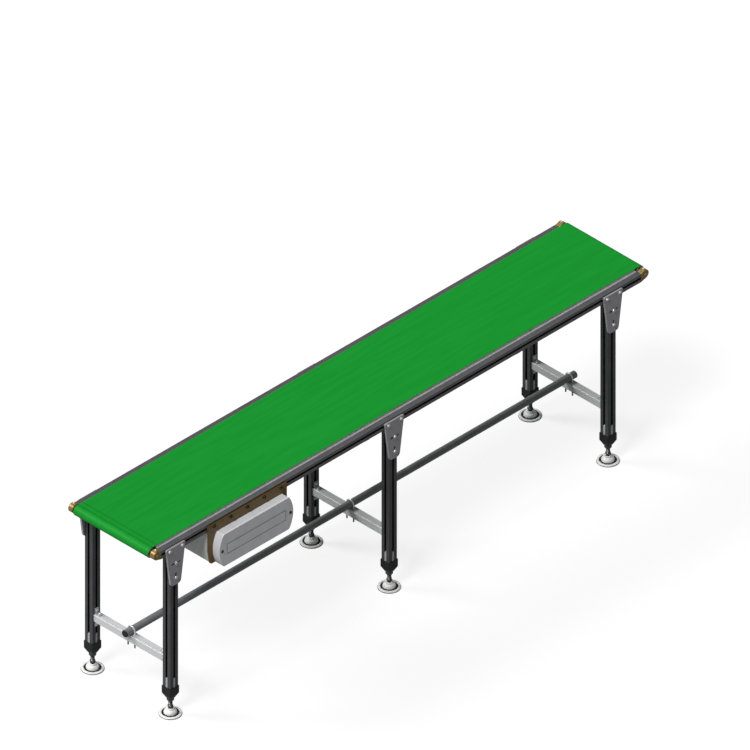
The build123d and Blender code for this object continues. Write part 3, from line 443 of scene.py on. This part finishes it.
def threaded_rod(bm, radius, pitch, low, high, place=Matrix(), steps=32, material=0):
    """Rod with a real screw thread, chamfered at its upper end."""
    depth = 0.55 * pitch
    per_turn = 6
    rows = int((high - low) / pitch * per_turn)
    stack = []
    for row in range(rows + 1):
        z = low + (high - low) * row / rows
        ease = min(1.0, (high - z) / (0.8 * radius) * 0.6 + 0.72)

        def thread(turn, z=z, ease=ease):
            phase = (z / pitch - turn / (2 * math.pi)) % 1.0
            return min(radius * ease, radius - depth * abs(2 * phase - 1) ** 1.2)
        stack.append((thread, z))
    turned(bm, stack, steps, place, material)


def facing(point, direction):
    """A place at a point whose local Z looks along a direction."""
    return Matrix.Translation(point) @ Vector(direction).to_track_quat("Z", "Y").to_matrix().to_4x4()


def solids_of(node):
    """The box of each separate solid in a CAD node, as (lowest, highest) corners."""
    bm = bmesh.new()
    bm.from_mesh(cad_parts[node].data)
    bmesh.ops.remove_doubles(bm, verts=bm.verts, dist=0.005 * MM)
    left, boxes = set(bm.verts), []
    while left:
        seed = left.pop()
        island, todo = [seed], [seed]
        while todo:
            for edge in todo.pop().link_edges:
                for vert in edge.verts:
                    if vert in left:
                        left.discard(vert)
                        island.append(vert)
                        todo.append(vert)
        boxes.append((Vector([min(v.co[k] for v in island) for k in range(3)]),
                      Vector([max(v.co[k] for v in island) for k in range(3)])))
    bm.free()
    return sorted(boxes, key=lambda b: tuple(round(c, 5) for c in b[0]))


def middle_of(box):
    """Centre of a box."""
    return (box[0] + box[1]) / 2


def round_node(node):
    """Axis point and radius of a CAD piece that is round about an axis along Y or Z."""
    low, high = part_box(node)
    return (low + high) / 2, (high.x - low.x) / 2


STATIONS = ("infeed", "centre", "outfeed")
SIDES = ("front", "rear")
FEET = [(f"{station}_{side}", f"{station}_{side}_stem", f"{station}_{side}_pad")
        for station in STATIONS for side in SIDES]


# ------------------------------------------------------------------ conveyor belt
def arc(centre, radius, start_deg, sweep_deg):
    """Points on an arc in the XZ plane, a point every four degrees."""
    steps = max(2, round(abs(sweep_deg) / 4))
    return [(centre[0] + radius * math.cos(math.radians(start_deg + sweep_deg * i / steps)),
             centre[2] + radius * math.sin(math.radians(start_deg + sweep_deg * i / steps)))
            for i in range(steps + 1)]


def belt_line(depth):
    """The belt's loop in XZ, a depth out from its running side, round its rollers and drum."""
    infeed, nose_r = round_node("infeed_nose_roller")
    outfeed, _ = round_node("outfeed_nose_roller")
    drum, drum_r = round_node("drive_drum")
    left_snub, snub_r = round_node("infeed_snub_roller")
    right_snub, _ = round_node("outfeed_snub_roller")
    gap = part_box("conveyor_belt")[1].z - BELT_THICKNESS - (infeed.z + nose_r)
    nose, wrap = nose_r + gap + depth, drum_r + gap + depth
    snub = snub_r + gap + BELT_THICKNESS - depth
    return (arc(outfeed, nose, 90, -180) + arc(right_snub, snub, 90, 90)
            + arc(drum, wrap, 0, -180) + arc(left_snub, snub, 0, 90)
            + arc(infeed, nose, 270, -180))


def conveyor_belt():
    """Endless two-ply belt: green cover outside, woven running side inside, soft edges."""
    low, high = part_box("conveyor_belt")
    edge = 0.4 * MM
    half = (high.y - low.y) / 2
    thick = BELT_THICKNESS
    section = [(-half + edge, 0), (half - edge, 0), (half, edge), (half, thick - edge),
               (half - edge, thick), (-half + edge, thick), (-half, thick - edge), (-half, edge)]
    lines = {depth: belt_line(depth) for _, depth in section}
    bm = bmesh.new()
    count = len(lines[0])
    loops = [[bm.verts.new((lines[d][i][0], y, lines[d][i][1])) for y, d in section]
             for i in range(count)]
    for i in range(count):
        here, after = loops[i], loops[(i + 1) % count]
        for k in range(len(section)):
            m = (k + 1) % len(section)
            face = bm.faces.new((here[k], here[m], after[m], after[k]))
            face.material_index = 1 if k == 0 else 0
    piece("conveyor_belt_cover", bm, [BELT_GREEN, BELT_WEAVE], "frame", ["conveyor_belt"])


# ------------------------------------------------------------------ bolts, screws and nuts
def plate_bolts():
    """Button-head bolts in the rail and leg slots, each on a washer: bright zinc on the leg
    brackets and black on the drive plates."""
    drive_low, drive_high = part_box("front_drive_plate")
    head, socket, shank, shank_end = 5 * MM, 5 * MM, 4 * MM, 12 * MM
    washer_bore, washer_height, head_start = 4.2 * MM, 1.2 * MM, 0.8 * MM
    bm = bmesh.new()
    for box in solids_of("t_slot_bolts"):
        centre = middle_of(box)
        side = math.copysign(1, centre.y)
        face_y = box[1].y if side > 0 else box[0].y
        radius = (box[1].x - box[0].x) / 2
        seat = Vector((centre.x, face_y - side * head, centre.z))
        place = facing(seat, (0, side, 0))
        black = int(drive_low.x < centre.x < drive_high.x)
        washer(bm, radius, washer_bore, washer_height, place, black)
        socket_head(bm, radius * 0.93, head - head_start, socket,
                    facing(seat + Vector((0, side * head_start, 0)), (0, side, 0)), black)
        turned(bm, [(shank, -shank_end), (shank, 1 * MM)], 24, place, black)
    piece("slot_bolts_with_washers", bm, [BOLT_ZINC, BOLT_BLACK], "frame", ["t_slot_bolts"])


def corner_screws():
    """Small socket screws that hold the beam corner brackets."""
    beam = middle_of(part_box("centre_cross_beam"))
    head, socket, shank = 3 * MM, 3 * MM, 3 * MM
    bm = bmesh.new()
    for box in solids_of("corner_bracket_screws"):
        size = box[1] - box[0]
        along = max(range(3), key=lambda k: size[k])
        centre = middle_of(box)
        direction = Vector((0, 0, 0))
        if along == 1:
            direction.y = -math.copysign(1, centre.y)
        else:
            direction.z = math.copysign(1, centre.z - beam.z)
        tip = centre + direction * size[along] / 2
        place = facing(tip - direction * head, direction)
        socket_head(bm, 5 * MM, head, socket, place)
        turned(bm, [(shank, -8 * MM), (shank, 0.5 * MM)], 24, place)
    piece("corner_socket_screws", bm, [BOLT_ZINC], "frame", ["corner_bracket_screws"])


def clamp_screws():
    """Hexagon-head clamp screws on top of the nose end blocks."""
    head, flats, shank = 3 * MM, 8 * MM, 2.5 * MM
    bm = bmesh.new()
    for box in solids_of("nose_clamp_screws"):
        centre = middle_of(box)
        place = facing((centre.x, centre.y, box[1].z - head), (0, 0, 1))
        nut(bm, flats, head, 2 * MM, place)
        turned(bm, [(shank, -11 * MM), (shank, 2.6 * MM)], 24, place)
    piece("nose_clamp_hex_screws", bm, [BOLT_ZINC], "frame", ["nose_clamp_screws"])


def guard_screws():
    """Black pan-head screws with a cross recess, on the guard's face."""
    bm = bmesh.new()
    for box in solids_of("guard_screws"):
        centre = middle_of(box)
        radius = (box[1].z - box[0].z) / 2
        place = facing((centre.x, box[0].y + 2.5 * MM, centre.z), (0, -1, 0))

        def cross(turn, radius=radius):
            return radius * (0.44 if abs(math.sin(2 * turn)) < 0.42 else 0.2)

        turned(bm, [(radius, 0.0), (radius, 0.8 * MM), (0.9 * radius, 1.7 * MM),
                    (0.7 * radius, 2.3 * MM), (0.5 * radius, 2.5 * MM), (cross, 2.45 * MM),
                    (cross, 0.9 * MM)], 96, place)
        turned(bm, [(2.5 * MM, -40 * MM), (2.5 * MM, 0.5 * MM)], 24, place)
    piece("guard_pan_head_screws", bm, [NYLON_BLACK], "frame", ["guard_screws"])


def lock_nuts():
    """M16 lock nuts under the leg end caps."""
    bm = bmesh.new()
    for box in solids_of("foot_lock_nuts"):
        centre = middle_of(box)
        height = box[1].z - box[0].z
        flats = box[1].y - box[0].y
        nut(bm, flats, height, M16_RADIUS + 0.05 * MM, Matrix.Translation((centre.x, centre.y, box[0].z))
            @ Matrix.Rotation(math.radians(15), 4, "Z"))
    piece("m16_lock_nuts", bm, [STEM_ZINC], "frame", ["foot_lock_nuts"])


# ------------------------------------------------------------------ feet
def foot_stem(name, body):
    """Levelling stem: ball, narrow neck, hexagon for the spanner and an M16 thread above."""
    node = f"{name}_foot_stem"
    low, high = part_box(node)
    centre = (low + high) / 2
    place = Matrix.Translation((centre.x, centre.y, 0))
    ball, ball_z = 8 * MM, low.z + 8 * MM
    hex_low, hex_high, hex_face = 29 * MM, 38 * MM, 8.6 * MM
    neck = 4.5 * MM
    bm = bmesh.new()
    rise = [(ball * math.cos(math.radians(t)), ball_z + ball * math.sin(math.radians(t)))
            for t in range(-80, 56, 8)]
    turned(bm, rise + [(neck, hex_low - 3 * MM), (neck, hex_low + 1 * MM)], 32, place)
    flats = hexagon(19 * MM)
    turned(bm, [(hex_face, hex_low), (flats, hex_low + 1 * MM), (flats, hex_high - 1 * MM),
                (hex_face, hex_high)], 48, place)
    threaded_rod(bm, M16_RADIUS, M16_PITCH, hex_high - 0.5 * MM, high.z, place)
    piece(f"{name}_threaded_stem", bm, [STEM_ZINC], body, [node], 25)


def foot_pad(name, body):
    """Round foot pad: pale moulding with a raised rim and domed hub, a black ring in the
    groove between them, and a rubber sole."""
    node = f"{name}_foot_pad"
    low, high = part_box(node)
    centre = (low + high) / 2
    radius = (high.y - low.y) / 2
    top = high.z
    place = Matrix.Translation((centre.x, centre.y, 0))
    sole, hub, socket = 1.6 * MM, 14 * MM, 8.4 * MM
    groove_out, groove_in = radius - 10.5 * MM, radius - 18.5 * MM
    bm = bmesh.new()
    dome = [(hub + (groove_in - hub) * math.cos(math.radians(t)),
             (6 + 13 * math.sin(math.radians(t))) * MM) for t in range(0, 91, 10)]
    turned(bm, [(socket, sole + 1 * MM), (radius - 1.6 * MM, sole),
                (radius - 1.0 * MM, sole + 0.4 * MM), (radius - 0.9 * MM, 4.0 * MM),
                (radius - 1.8 * MM, 4.8 * MM), (radius - 5.4 * MM, 6 * MM),
                (radius - 9.8 * MM, 6 * MM), (radius - 10.4 * MM, 5.4 * MM),
                (groove_out, 4 * MM), (groove_in, 4 * MM)] + dome
           + [(hub, top - 1.4 * MM), (hub - 0.4 * MM, top - 0.4 * MM),
              (hub - 1.2 * MM, top), (8.8 * MM, top), (7.4 * MM, top - 3 * MM),
              (6.8 * MM, top - 5 * MM), (8.0 * MM, top - 8 * MM), (socket, top - 10 * MM),
              (socket, 7 * MM)], 72, place, 0, closed=True)
    turned(bm, [(radius - 18.3 * MM, 4.1 * MM), (radius - 10.7 * MM, 4.1 * MM),
                (radius - 10.7 * MM, 5.4 * MM), (radius - 11.5 * MM, 6.1 * MM),
                (radius - 17.5 * MM, 6.1 * MM), (radius - 18.3 * MM, 5.4 * MM)],
           72, place, 1, closed=True)
    turned(bm, [(radius - 0.4 * MM, sole + 0.3 * MM), (radius, sole - 0.2 * MM),
                (radius, 0.4 * MM), (radius - 0.6 * MM, 0.0), (10 * MM, 0.0),
                (10 * MM, sole + 0.3 * MM)], 72, place, 1, closed=True)
    turned(bm, [(10.2 * MM, 0.3 * MM), (10.2 * MM, sole)], 48, place, 1)
    piece(f"{name}_moulded_pad", bm, [NYLON_WHITE, RUBBER], body, [node])


# ------------------------------------------------------------------ tie tube clamps
def u_bolts():
    """U-bolts over the tie tube, threaded below the beam, with washers and nuts."""
    boxes = solids_of("tube_u_bolts")
    bows = [box for box in boxes if box[1].z - box[0].z > 30 * MM]
    nuts = [box for box in boxes if box not in bows]
    rod = 3 * MM
    bm = bmesh.new()
    for low, high in bows:
        x = (low.x + high.x) / 2
        reach = (high.y - low.y) / 2 - rod
        bend_z = high.z - rod - reach
        beam_low = nuts[0][1].z
        path = ([Vector((x, -reach, beam_low + 2 * MM)), Vector((x, -reach, bend_z))]
                + [Vector((x, -reach * math.cos(math.radians(t)),
                           bend_z + reach * math.sin(math.radians(t)))) for t in range(10, 180, 10)]
                + [Vector((x, reach, bend_z)), Vector((x, reach, beam_low + 2 * MM))])
        rings = []
        for i, point in enumerate(path):
            ahead = path[min(i + 1, len(path) - 1)] - path[max(i - 1, 0)]
            rings.append(ring(bm, rod, 0.0, 20, facing(point, ahead)
                              @ Matrix.Rotation(math.radians(90), 4, "Z")))
        for lower, upper in zip(rings, rings[1:]):
            start = min(range(20), key=lambda s: (upper[s].co - lower[0].co).length)
            for i in range(20):
                bm.faces.new((lower[i], lower[(i + 1) % 20],
                              upper[(i + 1 + start) % 20], upper[(i + start) % 20]))
        for cap in (rings[0], rings[-1]):
            bm.faces.new(cap)
        for y in (-reach, reach):
            stud = Matrix.Translation((x, y, beam_low + 2.5 * MM)) @ Matrix.Rotation(math.pi, 4, "X")
            threaded_rod(bm, rod, 1 * MM, 0.0, beam_low + 2.5 * MM - low.z, stud, 24, 1)
    piece("tube_u_bolt_bows", bm, [BOLT_ZINC, STEM_ZINC], "frame", ["tube_u_bolts"])
    bm = bmesh.new()
    for low, high in nuts:
        centre = (low + high) / 2
        place = Matrix.Translation((centre.x, centre.y, low.z))
        nut(bm, 10 * MM, high.z - low.z - 1.2 * MM, 3.1 * MM, place)
        washer(bm, 6.5 * MM, 3.2 * MM, 1.2 * MM,
               Matrix.Translation((centre.x, centre.y, high.z - 1.2 * MM)))
    piece("u_bolt_nuts_and_washers", bm, [STEM_ZINC], "frame")


# ------------------------------------------------------------------ gear motor
def finned_motor():
    """Motor with cooling fins along its barrel and a cowl with air slots at its end."""
    low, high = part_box("motor")
    centre = (low + high) / 2
    radius = (high.z - low.z) / 2
    length = high.y - low.y
    place = facing((centre.x, low.y, centre.z), (0, 1, 0))
    fins, fin_top, fin_root = 28, 0.4 * MM, 3.6 * MM

    def ribs(turn):
        return radius - (fin_top if math.sin(turn * fins) > -0.2 else fin_root)

    bm = bmesh.new()
    turned(bm, [(radius * 0.8, 0.0), (radius, 1 * MM), (radius, 10 * MM), (radius - 1 * MM, 11 * MM),
                (radius - 4 * MM, 11.5 * MM)], 224, place)
    turned(bm, [(radius - 4 * MM, 11 * MM), (ribs, 12 * MM), (ribs, length - 42 * MM),
                (radius - 4 * MM, length - 41 * MM)], 224, place)

    def slots(turn):
        return radius * (0.72 if math.sin(turn * 16) > 0.3 else 0.5)

    turned(bm, [(radius - 3 * MM, length - 41.5 * MM), (radius, length - 40 * MM),
                (radius, length - 5 * MM), (radius - 1.5 * MM, length - 1.5 * MM),
                (radius - 5 * MM, length), (radius * 0.74, length), (slots, length - 0.1 * MM),
                (slots, length - 3 * MM), (radius * 0.46, length - 3 * MM),
                (radius * 0.44, length - 0.5 * MM), (radius * 0.3, length)], 224, place)
    piece("finned_motor_with_cowl", bm, [MOTOR_ENAMEL], "frame", ["motor"])


# ------------------------------------------------------------------ finishes for CAD pieces
def coat_cad_pieces():
    """Every CAD piece whose own shape is right keeps it, with its finish and softened edges."""
    for side in SIDES:
        coat(f"{side}_side_rail", RAIL_BLACK)
        coat(f"{side}_drive_plate", BRONZE, 0.5)
    for station in STATIONS:
        coat(f"{station}_cross_beam", BEAM_SILVER)
        for side in SIDES:
            coat(f"{station}_{side}_leg", LEG_BLACK)
    for end in ("infeed", "outfeed"):
        coat(f"{end}_nose_roller", ROLLER_STEEL)
        coat(f"{end}_snub_roller", ROLLER_STEEL)
    for end in ("centre", "outfeed"):
        coat(f"{end}_return_roller", ROLLER_STEEL)
    for node, material, edge in (
            ("slider_bed", SHEET_ZINC, 0.3), ("bed_cross_members", SHEET_ZINC, 0.5),
            ("roller_axles", ROLLER_STEEL, 0.3), ("nose_end_blocks", BLOCK_YELLOW, 0.8),
            ("leg_brackets", BRACKET_GREY, 0.6), ("t_slot_nuts", BOLT_ZINC, 0.4),
            ("leg_end_caps", NYLON_BLACK, 0.8), ("leg_anchors", CAST_ZINC, 0.6),
            ("beam_corner_brackets", CAST_ZINC, 0.8), ("tie_tube", TUBE_GREY, 0.3),
            ("tie_tube_caps", NYLON_BLACK, 0.4), ("drive_housing", HOUSING_GREY, 0.6),
            ("drum_bearings", CAST_ZINC, 0.8), ("drive_drum", RUBBER, 0.5),
            ("gearbox", MOTOR_ENAMEL, 1.0), ("terminal_box", MOTOR_ENAMEL, 0.8),
            ("drum_pulley", PULLEY_METAL, 0.2), ("motor_pulley", PULLEY_METAL, 0.2),
            ("timing_belt", RUBBER, 0.3), ("belt_guard", GUARD_GREY, 1.0),
            ("return_roller_hangers", SHEET_ZINC, 0.4)):
        coat(node, material, edge)


# ------------------------------------------------------------------ studio
def studio():
    """Pale floor, broad light from the infeed end and from the rear, and a parallel camera."""
    floor_glow, air_light, air_seen = 0.78, 0.2, 1.1
    view_width, standoff = 2.671, 6
    grid = bmesh.new()
    bmesh.ops.create_grid(grid, x_segments=1, y_segments=1, size=12)
    mesh = bpy.data.meshes.new("studio_floor")
    grid.to_mesh(mesh)
    grid.free()
    material, tree, shader = surface("pale_studio_floor", "#8A8A8A", 0.9, Specular_IOR_Level=0.0)
    patches = mixed(tree, between(tree, grain(tree, 400), 0.0, 1.0), paint("#898989"),
                    paint("#8B8B8B"))
    tree.links.new(patches, shader.inputs["Base Color"])
    # bright as seen, and darker to the pieces, so that little light comes back up from it
    seen = add(tree, "ShaderNodeLightPath").outputs["Is Camera Ray"]
    glow = add(tree, "ShaderNodeMath", {"operation": "MULTIPLY"}, {0: seen, 1: floor_glow}).outputs[0]
    tree.links.new(glow, shader.inputs["Emission Strength"])
    shader.inputs["Emission Color"].default_value = paint("#FFFFFF")
    mesh.materials.append(material)
    floor = bpy.data.objects.new("studio_floor", mesh)
    floor.location.z = cad_low.z - 0.2 * MM
    bpy.context.scene.collection.objects.link(floor)

    world = bpy.data.worlds.new("studio_air")
    bpy.context.scene.world = world
    world.use_nodes = True
    air = world.node_tree
    sky = air.nodes["Background"]
    sky.inputs["Color"].default_value = paint("#F3F4F6")
    # soft light on the pieces, and as bright as the floor where it is seen past its far edge
    seen = add(air, "ShaderNodeLightPath").outputs["Is Camera Ray"]
    air.links.new(between(air, seen, air_light, air_seen, 0.0, 1.0), sky.inputs["Strength"])

    for name, towards, power in (("window_from_infeed", (0.6, 0.08, -0.79), 2.0),
                                 ("window_from_rear", (0.45, -0.62, -0.64), 1.75)):
        sun = bpy.data.lights.new(name, "SUN")
        sun.energy = power
        sun.angle = 0.35
        lamp = bpy.data.objects.new(name, sun)
        lamp.rotation_mode = "QUATERNION"
        lamp.rotation_quaternion = Vector(towards).to_track_quat("-Z", "Y")
        bpy.context.scene.collection.objects.link(lamp)

    camera = bpy.data.cameras.new("parallel_view")
    camera.type = "ORTHO"
    camera.ortho_scale = view_width
    camera.clip_end = 50
    eye = bpy.data.objects.new("parallel_view", camera)
    look = Vector((1, 1, -1)).normalized()
    aim_at = Vector((0.0834, 0.0, 0.764))
    eye.location = aim_at - look * standoff
    eye.rotation_mode = "QUATERNION"
    eye.rotation_quaternion = look.to_track_quat("-Z", "Y")
    bpy.context.scene.collection.objects.link(eye)
    bpy.context.scene.camera = eye
    bpy.context.scene.view_settings.view_transform = "Standard"


studio()
coat_cad_pieces()
conveyor_belt()
plate_bolts()
corner_screws()
clamp_screws()
guard_screws()
lock_nuts()
u_bolts()
finned_motor()
for foot, stem_body, pad_body in FEET:
    foot_stem(foot, stem_body)
    foot_pad(foot, pad_body)
